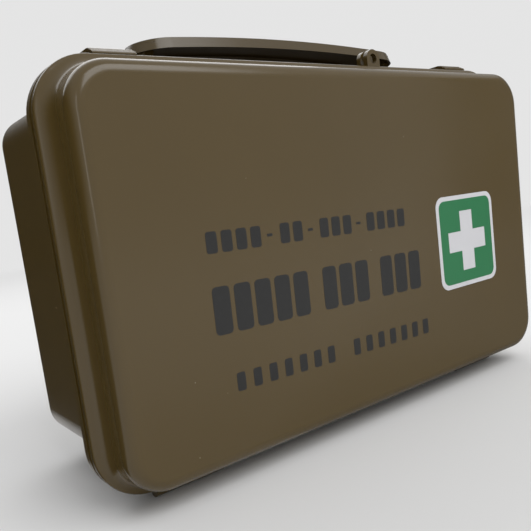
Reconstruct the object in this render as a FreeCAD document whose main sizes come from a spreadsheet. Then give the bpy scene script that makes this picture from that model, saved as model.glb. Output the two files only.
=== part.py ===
"""General purpose first aid kit: a moulded case with a bottom-hinged lid, and its contents.

Case axes: X to the right, Y from the lid's front face to the back, Z up from mid height.
Every piece is modelled in these axes and then moved as one, so that the origin of the
finished part lies at the centre of its footprint, on the surface it stands on.
"""
import FreeCAD, Part
import math
import os
import Sketcher

Vector = FreeCAD.Vector
Rotation = FreeCAD.Rotation

# Driving dimensions in millimetres: alias, value, what it is.
DRIVING_SIZES = [
    # lid
    ("lid_width", 240.0, "outer rim, left to right"),
    ("lid_height", 148.2, "outer rim, bottom to top"),
    ("lid_corner", 20.0, "corner radius of the outer rim"),
    ("lid_depth", 19.3, "front face to rim"),
    ("lid_wall", 2.4, "wall thickness of the lid"),
    ("panel_inset", 4.85, "step from the rim in to the raised front panel"),
    ("panel_round", 5.0, "rounding of the front panel's edge"),
    ("cove_start", 10.0, "depth at which the side wall starts to flare out"),
    ("cove_radius", 7.5, "radius of the hollow flare"),
    ("shoulder_soft", 0.7, "width of the rounded shoulder beside the flare"),
    # base
    ("case_depth", 90.3, "front face of the lid to back of the base"),
    ("seal_gap", 1.8, "gap between the two rims"),
    ("flange_thickness", 3.2, "front to back of the base's rim"),
    ("flange_root", 1.5, "fillet between the rim and the base's wall"),
    ("base_inset", 8.1, "step from the rim in to the base's wall"),
    ("base_wall", 2.2, "wall thickness of the base"),
    ("base_round", 3.0, "rounding of the back edge"),
    # seal
    ("seal_inset", 4.0, "rim edge to the seal's groove"),
    ("seal_width", 3.0, "width of the groove"),
    ("groove_depth", 1.0, "depth of the groove"),
    ("seal_slack", 0.05, "side clearance of the seal in its groove"),
    # pins and bores
    ("pin_radius", 1.2, "hinge and latch pins"),
    ("handle_pin_radius", 1.5, "handle pins"),
    ("running_gap", 0.05, "radial clearance of a turning bore"),
    ("press_gap", 0.01, "radial clearance of a bore that holds a pin fast"),
    # lid hinge
    ("knuckle_radius", 3.2, "outside of a hinge knuckle"),
    ("knuckle_relief", 0.3, "clearance around a knuckle"),
    ("hinge_end", 100.0, "outer end of a hinge, from the centre line"),
    ("outer_knuckle", 9.0, "length of each knuckle on the base"),
    ("lid_knuckle", 9.6, "length of the knuckle on the lid"),
    ("knuckle_space", 0.2, "gap between neighbouring knuckles"),
    # latches
    ("latch_place", 90.2, "middle of a latch, from the centre line"),
    ("latch_width", 15.5, "width of a latch"),
    ("latch_rise", 2.75, "top of a latch above the rims"),
    ("latch_clear", 0.2, "latch plate above the rims"),
    ("latch_nose", 17.9, "depth of the latch's front edge"),
    ("latch_brow", 22.0, "depth at which the latch's sloping front ends"),
    ("latch_pivot_depth", 33.5, "depth of the latch's pin"),
    ("latch_pivot_drop", 3.4, "latch pin below the rims"),
    ("latch_barrel", 3.1, "outside of the latch's barrel"),
    ("latch_back_round", 3.6, "rounding of the latch's back"),
    ("ridge_height", 0.3, "thumb ridges on the latch"),
    ("ear_thickness", 2.5, "ears that hold a latch pin"),
    ("ear_space", 0.3, "gap between an ear and its latch"),
    # handle
    ("handle_depth_place", 49.0, "middle of the handle, front to back"),
    ("grip_half_length", 71.3, "grip, at its lower edge"),
    ("grip_half_width", 13.5, "grip, at its lower edge"),
    ("grip_draft", 20.0, "slope of the grip's sides, degrees from upright"),
    ("grip_rise", 14.75, "top of the grip above the rims"),
    ("grip_skirt", 4.1, "height of the grip's side walls"),
    ("grip_wall", 1.9, "wall thickness of the grip"),
    ("crown_radius", 790.0, "bow of the grip along its length"),
    ("leg_inner", 63.8, "inner face of a handle leg, from the centre line"),
    ("leg_reach", 9.0, "handle leg, left to right"),
    ("leg_shoulder", 2.6, "step from the grip's edge in to the leg"),
    ("leg_waist_rise", 4.4, "end of the leg's taper above its pin"),
    ("leg_eye", 4.6, "rounding of the leg's foot"),
    ("grip_edge_rise", 8.4, "height above the rims at which the grip is measured"),
    ("handle_pin_reach", 5.2, "handle pin beyond the inner face of its leg"),
    ("handle_pivot_drop", 1.5, "handle pins below the rims"),
    ("lug_thickness", 5.2, "lugs that hold the handle pins"),
    ("lug_radius", 4.2, "rounding of a lug's top"),
    # seal tabs
    ("tab_place", 30.8, "middle of the seal tabs, from the centre line"),
    ("tab_width", 7.8, "width of a seal tab"),
    ("tab_rise", 7.1, "top of a seal tab above the rims"),
    ("tab_front", 17.0, "front face of the lid's seal tab"),
    ("tab_thickness", 2.3, "front to back of a seal tab"),
    ("tab_hole_radius", 2.1, "hole for a seal or padlock"),
    ("tab_hole_rise", 3.1, "middle of that hole above the rims"),
    # stand feet
    ("foot_place", 60.0, "middle of a stand foot, from the centre line"),
    ("foot_width", 26.0, "stand foot, left to right"),
    ("foot_depth", 9.0, "stand foot, front to back"),
    ("foot_back", 85.0, "depth of the foot's back face"),
    ("foot_round", 2.0, "rounding of the foot's sole"),
    ("lug_embed", 0.6, "how far a lug, ear or foot runs into the wall it stands on"),
    # emblem label
    ("label_side", 42.5, "side of the square label"),
    ("label_corner", 5.0, "its corner radius"),
    ("label_across", 64.2, "middle of the label, from the centre line"),
    ("label_up", -8.1, "middle of the label, from mid height"),
    ("label_thickness", 0.15, "label thickness"),
    # contents
    ("stow_gap", 0.6, "space left between stowed items"),
    ("stow_front", 24.0, "front of the stowed items"),
    ("stow_back", 79.0, "back of the stowed items"),
    ("stow_lift", 0.2, "space under the lowest items"),
    ("packet_corner", 8.0, "corner radius of a soft packet"),
    ("left_bay", -108.0, "left end of the dressings"),
    ("middle_bay", -36.0, "left end of the rolls"),
    ("right_bay", 30.0, "left end of the right-hand items"),
    ("bay_end", 108.0, "right end of the right-hand items"),
    ("dressing_height", 90.0, "large dressing"),
    ("triangular_height", 33.0, "folded triangular bandage"),
    ("roll_radius", 13.5, "rolled gauze bandage"),
    ("roll_length", 62.0, "its length"),
    ("carton_height", 33.0, "carton of adhesive bandages"),
    ("eye_pack_height", 19.0, "eye dressing packet"),
    ("blanket_height", 60.0, "rescue blanket packet"),
    ("blanket_front", 52.0, "front of the rescue blanket packet"),
    ("tape_radius", 28.5, "spool of adhesive tape"),
    ("tape_width", 25.0, "its width over the flanges"),
    ("tape_across", 79.0, "middle of the spool, from the centre line"),
    ("bottle_radius", 10.5, "antiseptic bottle"),
    ("bottle_height", 46.0, "up to its shoulder"),
    ("bottle_across", 39.6, "middle of the bottle, from the centre line"),
    ("bottle_depth", 36.0, "middle of the bottle, front to back"),
    ("neck_radius", 5.4, "bottle neck"),
    ("neck_height", 12.0, "neck above the shoulder"),
    ("cap_radius", 8.0, "screw cap"),
    ("cap_height", 13.0, "height of the screw cap"),
    ("scissor_pivot_across", 40.0, "scissor rivet, from the centre line"),
    ("scissor_pivot_up", 8.0, "scissor rivet, from mid height"),
    ("scissor_back", 86.6, "back face of the scissors"),
    ("blade_thickness", 1.8, "each scissor half"),
    ("blade_length", 56.0, "rivet to tip"),
    ("shank_length", 46.0, "rivet to the middle of a finger ring"),
    ("ring_offset", 14.2, "finger ring to the scissors' centre line"),
    ("ring_outer", 13.6, "outside of a finger ring"),
    ("ring_inner", 9.8, "inside of a finger ring"),
    ("rivet_radius", 2.0, "scissor rivet"),
    ("tweezer_length", 72.0, "tweezers"),
    ("tweezer_height", 8.0, "width of the tweezers' strip"),
    ("card_width", 172.0, "instruction card"),
    ("card_height", 104.0, "its height"),
    ("card_thickness", 0.8, "its folded thickness"),
]

LEFT_AND_RIGHT = (("left", -1), ("right", 1))
VOLUME_PRECISION = 1e-6
HALF_CIRCLE_PRECISION = 1e-6


class Size:
    """A number in millimetres that remembers the sheet expression it comes from."""

    def __init__(self, value, text=None):
        self.value = float(value)
        self.text = text or "(%r)" % float(value)

    @staticmethod
    def of(number):
        return number if isinstance(number, Size) else Size(number)

    def _join(self, sign, other, value):
        return Size(value, "(%s %s %s)" % (self.text, sign, other.text))

    def __add__(self, other):
        other = Size.of(other)
        return self._join("+", other, self.value + other.value)

    def __sub__(self, other):
        other = Size.of(other)
        return self._join("-", other, self.value - other.value)

    def __mul__(self, other):
        other = Size.of(other)
        return self._join("*", other, self.value * other.value)

    def __truediv__(self, other):
        other = Size.of(other)
        return self._join("/", other, self.value / other.value)

    def __radd__(self, other):
        return Size.of(other) + self

    def __rsub__(self, other):
        return Size.of(other) - self

    def __rmul__(self, other):
        return Size.of(other) * self

    def __neg__(self):
        return Size(0.0) - self

    def root(self):
        return Size(math.sqrt(self.value), "sqrt(%s)" % self.text)


def make_sheet(document):
    """Put the driving dimensions in a spreadsheet and return them by alias."""
    sheet = document.addObject("Spreadsheet::Sheet", "Sizes")
    by_alias = {}
    for row, (alias, value, meaning) in enumerate(DRIVING_SIZES, start=1):
        sheet.set("A%d" % row, meaning)
        sheet.set("B%d" % row, str(value))
        sheet.setAlias("B%d" % row, alias)
        by_alias[alias] = Size(value, "Sizes.%s" % alias)
    document.recompute()
    return by_alias


doc = FreeCAD.newDocument("FirstAidKit")
size = make_sheet(doc)

# Sizes that follow from the driving ones.
half_width = size["lid_width"] / 2
half_height = size["lid_height"] / 2
base_front = size["lid_depth"] + size["seal_gap"]
flange_back = base_front + size["flange_thickness"]
base_top = half_height - size["base_inset"]
inner_floor = -half_height + size["base_inset"] + size["base_wall"]
hinge_depth = size["lid_depth"] + size["seal_gap"] / 2
hinge_up = -half_height
shift_back = -(size["case_depth"] - size["label_thickness"]) / 2
shift_up = half_height + size["knuckle_radius"]


def bind(thing, name, amount):
    """Set a property and tie it to the sheet."""
    thing.setExpression(name, Size.of(amount).text)


def seat(thing, across=0.0, depth=0.0, up=0.0, rotation=None):
    """Place a piece, given in case axes, in the frame of the finished part."""
    if rotation is not None:
        thing.Placement = FreeCAD.Placement(Vector(), rotation)
    bind(thing, "Placement.Base.x", Size.of(across))
    bind(thing, "Placement.Base.y", depth + shift_back)
    bind(thing, "Placement.Base.z", up + shift_up)
    return thing


# ---------------------------------------------------------------- sketches and features

def new_body(label):
    body = doc.addObject("PartDesign::Body", label)
    body.Label = label
    return seat(body)


def new_sketch(owner, plane_role, offset=None):
    """A sketch on one of the body's own origin planes, moved along its normal."""
    sketch = owner.newObject("Sketcher::SketchObject", "Outline")
    planes = [f for f in owner.Origin.OriginFeatures if f.Role == plane_role]
    sketch.AttachmentSupport = [(planes[0], "")]
    sketch.MapMode = "FlatFace"
    if offset is not None:
        bind(sketch, "AttachmentOffset.Base.z", offset)
    return sketch


def arc_between(start, end, radius, left_hand):
    """Arc from start to end whose centre lies on the left or right of the way there."""
    chord = end - start
    middle = (start + end) * 0.5
    reach = math.sqrt(max(radius ** 2 - (chord.Length / 2) ** 2, 0.0))
    to_left = Vector(-chord.y, chord.x, 0).normalize()
    centre = middle + to_left * (reach if left_hand else -reach)
    from_angle, to_angle = [math.atan2(p.y - centre.y, p.x - centre.x) for p in (start, end)]
    if not left_hand:
        from_angle, to_angle = to_angle, from_angle
    if to_angle <= from_angle:
        to_angle += 2 * math.pi
    circle = Part.Circle(centre, Vector(0, 0, 1), radius)
    return Part.ArcOfCircle(circle, from_angle, to_angle)


def dimension(sketch, kind, amount, *where):
    """Add one dimension to a sketch and tie it to the sheet."""
    amount = Size.of(amount)
    row = sketch.addConstraint(Sketcher.Constraint(kind, *where, amount.value))
    bind(sketch, "Constraints[%d]" % row, amount)


def add_outline(sketch, corners):
    """Closed outline, fully dimensioned from the sheet.

    A corner is (across, up), or (across, up, radius, left_hand) when an arc leads on from
    it to the next corner, with its centre on the left or on the right of the way.
    """
    points = [Vector(Size.of(c[0]).value, Size.of(c[1]).value, 0) for c in corners]
    starts, ends = [], []
    for index, corner in enumerate(corners):
        start, end = points[index], points[(index + 1) % len(points)]
        if len(corner) == 2:
            edge = sketch.addGeometry(Part.LineSegment(start, end))
            start_point, end_point = 1, 2
        else:
            radius, left_hand = Size.of(corner[2]), corner[3]
            arc = arc_between(start, end, radius.value, left_hand)
            edge = sketch.addGeometry(arc)
            start_point, end_point = (1, 2) if left_hand else (2, 1)
            if abs(start.distanceToPoint(end) - 2 * radius.value) > HALF_CIRCLE_PRECISION:
                dimension(sketch, "Radius", radius, edge)
            elif abs(start.x - end.x) > abs(start.y - end.y):
                dimension(sketch, "DistanceY", corner[1], -1, 1, edge, 3)
            else:
                dimension(sketch, "DistanceX", corner[0], -1, 1, edge, 3)
        starts.append((edge, start_point))
        ends.append((edge, end_point))
    for index, corner in enumerate(corners):
        edge, point = starts[index]
        sketch.addConstraint(Sketcher.Constraint("Coincident", *ends[index - 1], edge, point))
        dimension(sketch, "DistanceX", corner[0], -1, 1, edge, point)
        dimension(sketch, "DistanceY", corner[1], -1, 1, edge, point)


def add_circle(sketch, across, up, radius):
    across, up, radius = Size.of(across), Size.of(up), Size.of(radius)
    circle = Part.Circle(Vector(across.value, up.value, 0), Vector(0, 0, 1), radius.value)
    edge = sketch.addGeometry(circle)
    dimension(sketch, "Radius", radius, edge)
    dimension(sketch, "DistanceX", across, -1, 1, edge, 3)
    dimension(sketch, "DistanceY", up, -1, 1, edge, 3)


def rounded_rectangle(width_half, height_half, radius, across=0.0, up=0.0):
    """Corners of a rounded rectangle, clockwise from the middle of its left side."""
    left, right = across - width_half, across + width_half
    low, high = up - height_half, up + height_half
    return [
        (left, Size.of(up)), (left, high - radius, radius, False),
        (left + radius, high), (right - radius, high, radius, False),
        (right, high - radius), (right, low + radius, radius, False),
        (right - radius, low), (left + radius, low, radius, False),
        (left, low + radius),
    ]


def extrude(body, sketch, length, cut=False, against_normal=False):
    """Pad or pocket a sketch along its plane's normal, and check that it did something."""
    before = body.Shape.Volume if body.Tip else 0.0
    kind = "PartDesign::Pocket" if cut else "PartDesign::Pad"
    feature = body.newObject(kind, "Pocket" if cut else "Pad")
    feature.Profile = sketch
    feature.Reversed = against_normal != cut
    bind(feature, "Length", length)
    doc.recompute()
    changed = feature.Shape.Volume - before
    if (changed < 0) != cut or abs(changed) < VOLUME_PRECISION:
        raise RuntimeError("%s changed %s by %g" % (feature.Name, body.Label, changed))
    return feature


def sweep_around_rim(body, profile_corners):
    """Sweep a cross-section, drawn at the left side, once around the rim's outline."""
    spine = new_sketch(body, "XZ_Plane")
    add_outline(spine, rounded_rectangle(half_width, half_height, size["lid_corner"]))
    profile = new_sketch(body, "XY_Plane")
    add_outline(profile, [(c[0] - half_width, *c[1:]) for c in profile_corners])
    doc.recompute()
    pipe = body.newObject("PartDesign::AdditivePipe", "Rim")
    pipe.Profile = profile
    pipe.Spine = (spine, [])
    doc.recompute()


def add_plate(body, inset, depth, thickness):
    """Flat plate that closes the swept rim, drawn at the given inset from its edge."""
    sketch = new_sketch(body, "XZ_Plane", -(depth + thickness))
    add_outline(sketch, rounded_rectangle(
        half_width - inset, half_height - inset, size["lid_corner"] - inset))
    extrude(body, sketch, thickness)


def along_x(body, start, length, draw, cut=False):
    """Extrude, towards +X, a profile drawn in depth and height."""
    sketch = new_sketch(body, "YZ_Plane", start)
    draw(sketch)
    return extrude(body, sketch, length, cut)


def side_start(side, near, length):
    """Start, on the X axis, of a length that begins at `near` from the centre line."""
    return Size.of(near) if side > 0 else -(near + length)


def knuckle_spans():
    """Distance from the centre line and length of the base's and the lid's knuckles."""
    outer, inner, gap = size["outer_knuckle"], size["lid_knuckle"], size["knuckle_space"]
    first = size["hinge_end"] - outer * 2 - inner - gap * 2
    on_lid = first + outer + gap
    return [(first, outer), (on_lid + inner + gap, outer)], (on_lid, inner)


def round_topped(middle, width, foot, pivot):
    """Upright strip with a half-round top about a pivot height."""
    return [(middle - width / 2, foot), (middle - width / 2, pivot, width / 2, False),
            (middle + width / 2, pivot), (middle + width / 2, foot)]


def add_seal_tab(body, front):
    """Upright tab on the top of a rim, with a hole for a seal or a padlock."""
    sketch = new_sketch(body, "XZ_Plane", -(front + size["tab_thickness"]))
    embed = 0.8
    top_middle = half_height + size["tab_rise"] - size["tab_width"] / 2
    add_outline(sketch, round_topped(
        size["tab_place"], size["tab_width"], half_height - embed, top_middle))
    add_circle(sketch, size["tab_place"], half_height + size["tab_hole_rise"],
               size["tab_hole_radius"])
    extrude(body, sketch, size["tab_thickness"])


# ---------------------------------------------------------------- case

def lid_section():
    """Cross-section of the lid's edge, as inset from the rim and depth."""
    wall, inset, rounding = size["lid_wall"], size["panel_inset"], size["panel_round"]
    radius, soft = size["cove_radius"], size["shoulder_soft"]
    cosine = (radius - inset + soft) / radius
    sine = (1 - cosine * cosine).root()
    shoulder_radius = soft / (1 - cosine)
    cove_end = size["cove_start"] + radius * sine
    overlap = 1.0
    return [
        (Size(0), size["lid_depth"]),
        (Size(0), cove_end + shoulder_radius * sine, shoulder_radius, True),
        (soft, cove_end, radius, False),
        (inset, size["cove_start"]),
        (inset, rounding, rounding, True),
        (inset + rounding, Size(0)),
        (inset + rounding + overlap, Size(0)),
        (inset + rounding + overlap, wall),
        (inset + rounding, wall, rounding - wall, False),
        (inset + wall, rounding),
        (inset + wall, size["lid_depth"]),
    ]


def make_lid():
    """Shallow front shell: raised panel, hollow flare, rim, hinge knuckles and seal tab."""
    body = new_body("lid")
    sweep_around_rim(body, lid_section())
    add_plate(body, size["panel_inset"] + size["panel_round"], Size(0), size["lid_wall"])
    add_seal_tab(body, size["tab_front"])
    base_spans, (lid_near, lid_length) = knuckle_spans()
    for _, side in LEFT_AND_RIGHT:
        start = side_start(side, lid_near, lid_length)
        along_x(body, start, lid_length, lambda s: add_circle(
            s, hinge_depth, hinge_up, size["knuckle_radius"]))
        along_x(body, start, lid_length, lambda s: add_circle(
            s, hinge_depth, hinge_up, size["pin_radius"] + size["running_gap"]), cut=True)
        for near, length in base_spans:
            room = length + 2 * size["knuckle_space"]
            start = side_start(side, near - size["knuckle_space"], room)
            along_x(body, start, room, lambda s: add_circle(
                s, hinge_depth, hinge_up, size["knuckle_radius"] + size["knuckle_relief"]),
                cut=True)
    return body


def base_section():
    """Cross-section of the base's edge, as inset from the rim and depth."""
    wall, inset, rounding = size["base_wall"], size["base_inset"], size["base_round"]
    root, depth = size["flange_root"], size["case_depth"]
    groove = size["seal_inset"]
    groove_bottom = base_front + size["groove_depth"]
    overlap = 1.0
    return [
        (Size(0), base_front),
        (Size(0), flange_back),
        (inset - root, flange_back, root, True),
        (inset, flange_back + root),
        (inset, depth - rounding, rounding, False),
        (inset + rounding, depth),
        (inset + rounding + overlap, depth),
        (inset + rounding + overlap, depth - wall),
        (inset + rounding, depth - wall, rounding - wall, True),
        (inset + wall, depth - rounding),
        (inset + wall, base_front),
        (groove + size["seal_width"], base_front),
        (groove + size["seal_width"], groove_bottom),
        (groove, groove_bottom),
        (groove, base_front),
    ]


def add_base_hinges(body, side):
    """Two knuckles on the base, and room between them for the lid's knuckle."""
    base_spans, (lid_near, lid_length) = knuckle_spans()
    for near, length in base_spans:
        start = side_start(side, near, length)
        along_x(body, start, length, lambda s: add_circle(
            s, hinge_depth, hinge_up, size["knuckle_radius"]))
        along_x(body, start, length, lambda s: add_circle(
            s, hinge_depth, hinge_up, size["pin_radius"] + size["press_gap"]), cut=True)
    room = lid_length + 2 * size["knuckle_space"]
    along_x(body, side_start(side, lid_near - size["knuckle_space"], room), room,
            lambda s: add_circle(s, hinge_depth, hinge_up,
                                 size["knuckle_radius"] + size["knuckle_relief"]), cut=True)


def latch_ear_starts():
    """Inner edges of the two ears beside a latch, from the centre line."""
    half = size["latch_width"] / 2 + size["ear_space"]
    return [size["latch_place"] - half - size["ear_thickness"], size["latch_place"] + half]


def add_ears(body, side):
    """Ears on the base's top that hold a latch pin, and a lug that holds a handle pin."""
    foot = base_top - size["lug_embed"]
    pivot_up = half_height - size["latch_pivot_drop"]
    for near in latch_ear_starts():
        start = side_start(side, near, size["ear_thickness"])
        along_x(body, start, size["ear_thickness"], lambda s: add_outline(s, round_topped(
            size["latch_pivot_depth"], 2 * size["latch_barrel"], foot, pivot_up)))
        along_x(body, start, size["ear_thickness"], lambda s: add_circle(
            s, size["latch_pivot_depth"], pivot_up, size["pin_radius"] + size["press_gap"]),
            cut=True)
    lug_up = half_height - size["handle_pivot_drop"]
    near = size["leg_inner"] - size["ear_space"] - size["lug_thickness"]
    start = side_start(side, near, size["lug_thickness"])
    along_x(body, start, size["lug_thickness"], lambda s: add_outline(s, round_topped(
        size["handle_depth_place"], 2 * size["lug_radius"], foot, lug_up)))
    along_x(body, start, size["lug_thickness"], lambda s: add_circle(
        s, size["handle_depth_place"], lug_up,
        size["handle_pin_radius"] + size["press_gap"]), cut=True)


def add_foot(body, side):
    """Moulded foot under the base, as low as the hinge knuckles, so that it stands."""
    top, bottom = size["lug_embed"] - base_top, -shift_up
    back, rounding = size["foot_back"], size["foot_round"]
    front = back - size["foot_depth"]
    start = side_start(side, size["foot_place"] - size["foot_width"] / 2, size["foot_width"])
    along_x(body, start, size["foot_width"], lambda s: add_outline(s, [
        (front, top), (back, top), (back, bottom + rounding, rounding, False),
        (back - rounding, bottom), (front + rounding, bottom, rounding, False),
        (front, bottom + rounding)]))


def make_base():
    """Deep rear shell: rim with the seal's groove, walls, back, hinges, ears and feet."""
    body = new_body("base_case")
    sweep_around_rim(body, base_section())
    add_plate(body, size["base_inset"] + size["base_round"],
              size["case_depth"] - size["base_wall"], size["base_wall"])
    add_seal_tab(body, base_front)
    for _, side in LEFT_AND_RIGHT:
        add_base_hinges(body, side)
        add_ears(body, side)
        add_foot(body, side)
    return body


def make_gasket():
    """Rubber strip seated in the base's groove, which the lid's rim closes on."""
    body = new_body("gasket")
    near = size["seal_inset"] + size["seal_slack"]
    far = size["seal_inset"] + size["seal_width"] - size["seal_slack"]
    bottom = base_front + size["groove_depth"]
    sweep_around_rim(body, [(near, size["lid_depth"]), (near, bottom),
                            (far, bottom), (far, size["lid_depth"])])
    return body


def add_pin(label, near, length, side, depth, up, radius):
    pin = doc.addObject("Part::Cylinder", label)
    pin.Label = label
    bind(pin, "Radius", radius)
    bind(pin, "Height", length)
    return seat(pin, side_start(side, near, length), depth, up, Rotation(Vector(0, 1, 0), 90))


def make_pins():
    """Steel pins of the hinges, the latches and the handle."""
    pins = []
    base_spans, _ = knuckle_spans()
    ears = latch_ear_starts()
    lug_near = size["leg_inner"] - size["ear_space"] - size["lug_thickness"]
    for name, side in LEFT_AND_RIGHT:
        near = base_spans[0][0]
        pins.append(add_pin("hinge_pin_" + name, near, size["hinge_end"] - near, side,
                            hinge_depth, hinge_up, size["pin_radius"]))
        length = ears[1] + size["ear_thickness"] - ears[0]
        pins.append(add_pin("latch_pin_" + name, ears[0], length, side,
                            size["latch_pivot_depth"],
                            half_height - size["latch_pivot_drop"], size["pin_radius"]))
        pin_end = size["leg_inner"] + size["handle_pin_reach"]
        pins.append(add_pin("handle_pin_" + name, lug_near, pin_end - lug_near, side,
                            size["handle_depth_place"],
                            half_height - size["handle_pivot_drop"],
                            size["handle_pin_radius"]))
    return pins


def latch_section():
    """Side view of a latch: ridged thumb slope, flat top, round back and pin barrel."""
    under = half_height + size["latch_clear"]
    top = half_height + size["latch_rise"]
    pivot_up = half_height - size["latch_pivot_drop"]
    pivot, barrel = size["latch_pivot_depth"], size["latch_barrel"]
    nose, brow = size["latch_nose"], size["latch_brow"]
    lip = 0.35
    corners = [(nose, under), (nose, under + lip)]
    run, rise = brow - nose, top - under - lip
    ridge_count = 3
    for ridge in range(ridge_count):
        for step, proud in ((0.30, 0.0), (0.50, 1.0), (0.80, 1.0), (1.0, 0.0)):
            share = (ridge + step) / (ridge_count + 0.4)
            corners.append((nose + run * share - size["ridge_height"] * proud * 0.6,
                            under + lip + rise * share + size["ridge_height"] * proud * 0.8))
    back, rounding = pivot + barrel, size["latch_back_round"]
    inner_slope = 1.2
    corners += [
        (brow, top),
        (back - rounding, top, rounding, False),
        (back, top - rounding),
        (back, pivot_up, barrel, False),
        (pivot - barrel, pivot_up),
        (pivot - barrel, under - inner_slope),
        (pivot - barrel - inner_slope, under),
    ]
    return corners


def make_latch(name, side):
    """Latch that turns on its pin behind the rims and lies over both of them."""
    body = new_body("latch_" + name)
    start = side_start(side, size["latch_place"] - size["latch_width"] / 2,
                       size["latch_width"])
    along_x(body, start, size["latch_width"], lambda s: add_outline(s, latch_section()))
    along_x(body, start, size["latch_width"], lambda s: add_circle(
        s, size["latch_pivot_depth"], half_height - size["latch_pivot_drop"],
        size["pin_radius"] + size["running_gap"]), cut=True)
    return body


# ---------------------------------------------------------------- handle

def stadium(half_length, half_depth):
    """Long outline with half-round ends, in plan."""
    middle = size["handle_depth_place"]
    straight = half_length - half_depth
    return [
        (-straight, middle + half_depth), (straight, middle + half_depth, half_depth, False),
        (straight, middle - half_depth), (-straight, middle - half_depth, half_depth, False),
    ]


def plan_sketch(label, up, corners):
    sketch = doc.addObject("Sketcher::SketchObject", label)
    add_outline(sketch, corners)
    return seat(sketch, up=up)


def tapered_block(label, inset):
    """Block with the grip's plan, its sides leaning in towards the top."""
    slope = math.tan(math.radians(size["grip_draft"].value))
    slope = Size(slope, "tan(%s * 1 deg)" % size["grip_draft"].text)
    block = doc.addObject("Part::Loft", label)
    sections = []
    for height in (6.0, 18.0):
        lean = inset + slope * (height - size["grip_edge_rise"])
        sections.append(plan_sketch("%sPlan%d" % (label, height), half_height + height, stadium(
            size["grip_half_length"] - lean, size["grip_half_width"] - lean)))
    block.Sections = sections
    block.Solid = True
    block.Ruled = True
    return block


def crown_roller(label, lowered):
    """Very wide roller whose top line is the bow of the grip, lowered by an amount."""
    roller = doc.addObject("Part::Cylinder", label)
    bind(roller, "Radius", size["crown_radius"] - lowered)
    bind(roller, "Height", Size(80))
    return seat(roller, 0.0, size["handle_depth_place"] + 40.0,
                half_height + size["grip_rise"] - size["crown_radius"],
                Rotation(Vector(1, 0, 0), 90))


def combine(kind, label, parts):
    """Fuse, cut or intersect pieces as one document object."""
    result = doc.addObject("Part::" + kind, label)
    if kind.startswith("Multi"):
        result.Shapes = parts
    else:
        result.Base, result.Tool = parts
    return result


def leg_outline(inner_top):
    """Side view of a handle leg: wide where it leaves the grip, round about its pin."""
    middle, eye = size["handle_depth_place"], size["leg_eye"]
    pivot_up = half_height - size["handle_pivot_drop"]
    top_half = size["grip_half_width"] - size["leg_shoulder"]
    waist_up = pivot_up + size["leg_waist_rise"]
    return [
        (middle - top_half, inner_top), (middle + top_half, inner_top),
        (middle + eye, waist_up), (middle + eye, pivot_up, eye, False),
        (middle - eye, pivot_up), (middle - eye, waist_up),
    ]


def make_handle():
    """Bowed hollow grip on two legs that turn on pins in the base's lugs."""
    parts = []
    inner_top = half_height + size["grip_rise"] - size["grip_skirt"]
    bowed = combine("Common", "GripBlock", [tapered_block("Outer", Size(0)),
                                            crown_roller("TopBow", Size(0))])
    strip = combine("Cut", "GripStrip", [bowed, crown_roller("LowBow", size["grip_skirt"])])
    core = combine("Common", "GripCore", [tapered_block("Inner", size["grip_wall"]),
                                          crown_roller("CoreBow", size["grip_wall"])])
    parts.append(combine("Cut", "GripShell", [strip, core]))
    below_eye, overlap = 1.0, 0.4
    foot = half_height - size["handle_pivot_drop"] - size["leg_eye"] - below_eye
    leg_top = inner_top + overlap
    length_inset, depth_inset = 1.0, 0.6
    fence = doc.addObject("Part::Extrusion", "LegFence")
    fence.Base = plan_sketch("LegPlan", foot, stadium(
        size["grip_half_length"] - length_inset, size["grip_half_width"] - depth_inset))
    fence.DirMode = "Custom"
    fence.Dir = Vector(0, 0, 1)
    fence.Solid = True
    bind(fence, "LengthFwd", leg_top - foot)
    for name, side in LEFT_AND_RIGHT:
        reach = size["leg_reach"]
        leg = doc.addObject("PartDesign::Body", "LegBlock" + name)
        seat(leg)
        along_x(leg, side_start(side, size["leg_inner"], reach), reach,
                lambda s: add_outline(s, leg_outline(leg_top)))
        parts.append(combine("Common", "Leg" + name, [leg, fence]))
    solid = combine("MultiFuse", "HandleSolid", parts)
    bore = doc.addObject("Part::Cylinder", "PinBore")
    bind(bore, "Radius", size["handle_pin_radius"] + size["running_gap"])
    bind(bore, "Height", size["lid_width"])
    seat(bore, -half_width, size["handle_depth_place"],
         half_height - size["handle_pivot_drop"], Rotation(Vector(0, 1, 0), 90))
    handle = combine("Cut", "carry_handle", [solid, bore])
    handle.Label = "carry_handle"
    return handle


# ---------------------------------------------------------------- label, card and contents

def make_label():
    """Square emblem label with round corners, stuck on the lid's front face."""
    body = new_body("emblem_label")
    sketch = new_sketch(body, "XZ_Plane", Size(0))
    add_outline(sketch, rounded_rectangle(
        size["label_side"] / 2, size["label_side"] / 2, size["label_corner"],
        size["label_across"], size["label_up"]))
    extrude(body, sketch, size["label_thickness"])
    return body


def add_box(label, low, high):
    """Upright block between two corners given in case axes."""
    box = doc.addObject("Part::Box", label)
    box.Label = label
    for name, start, end in zip(("Length", "Width", "Height"), low, high):
        bind(box, name, Size.of(end) - start)
    return seat(box, *low)


def add_packet(label, low, high):
    """Soft packet between two corners given in case axes, with its outline rounded."""
    body = new_body(label)
    halves = [(Size.of(end) - start) / 2 for start, end in zip(low, high)]
    thickness = Size.of(high[1]) - low[1]
    sketch = new_sketch(body, "XZ_Plane", -Size.of(high[1]))
    add_outline(sketch, rounded_rectangle(
        halves[0], halves[2], size["packet_corner"], low[0] + halves[0], low[2] + halves[2]))
    extrude(body, sketch, thickness)
    return body


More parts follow.
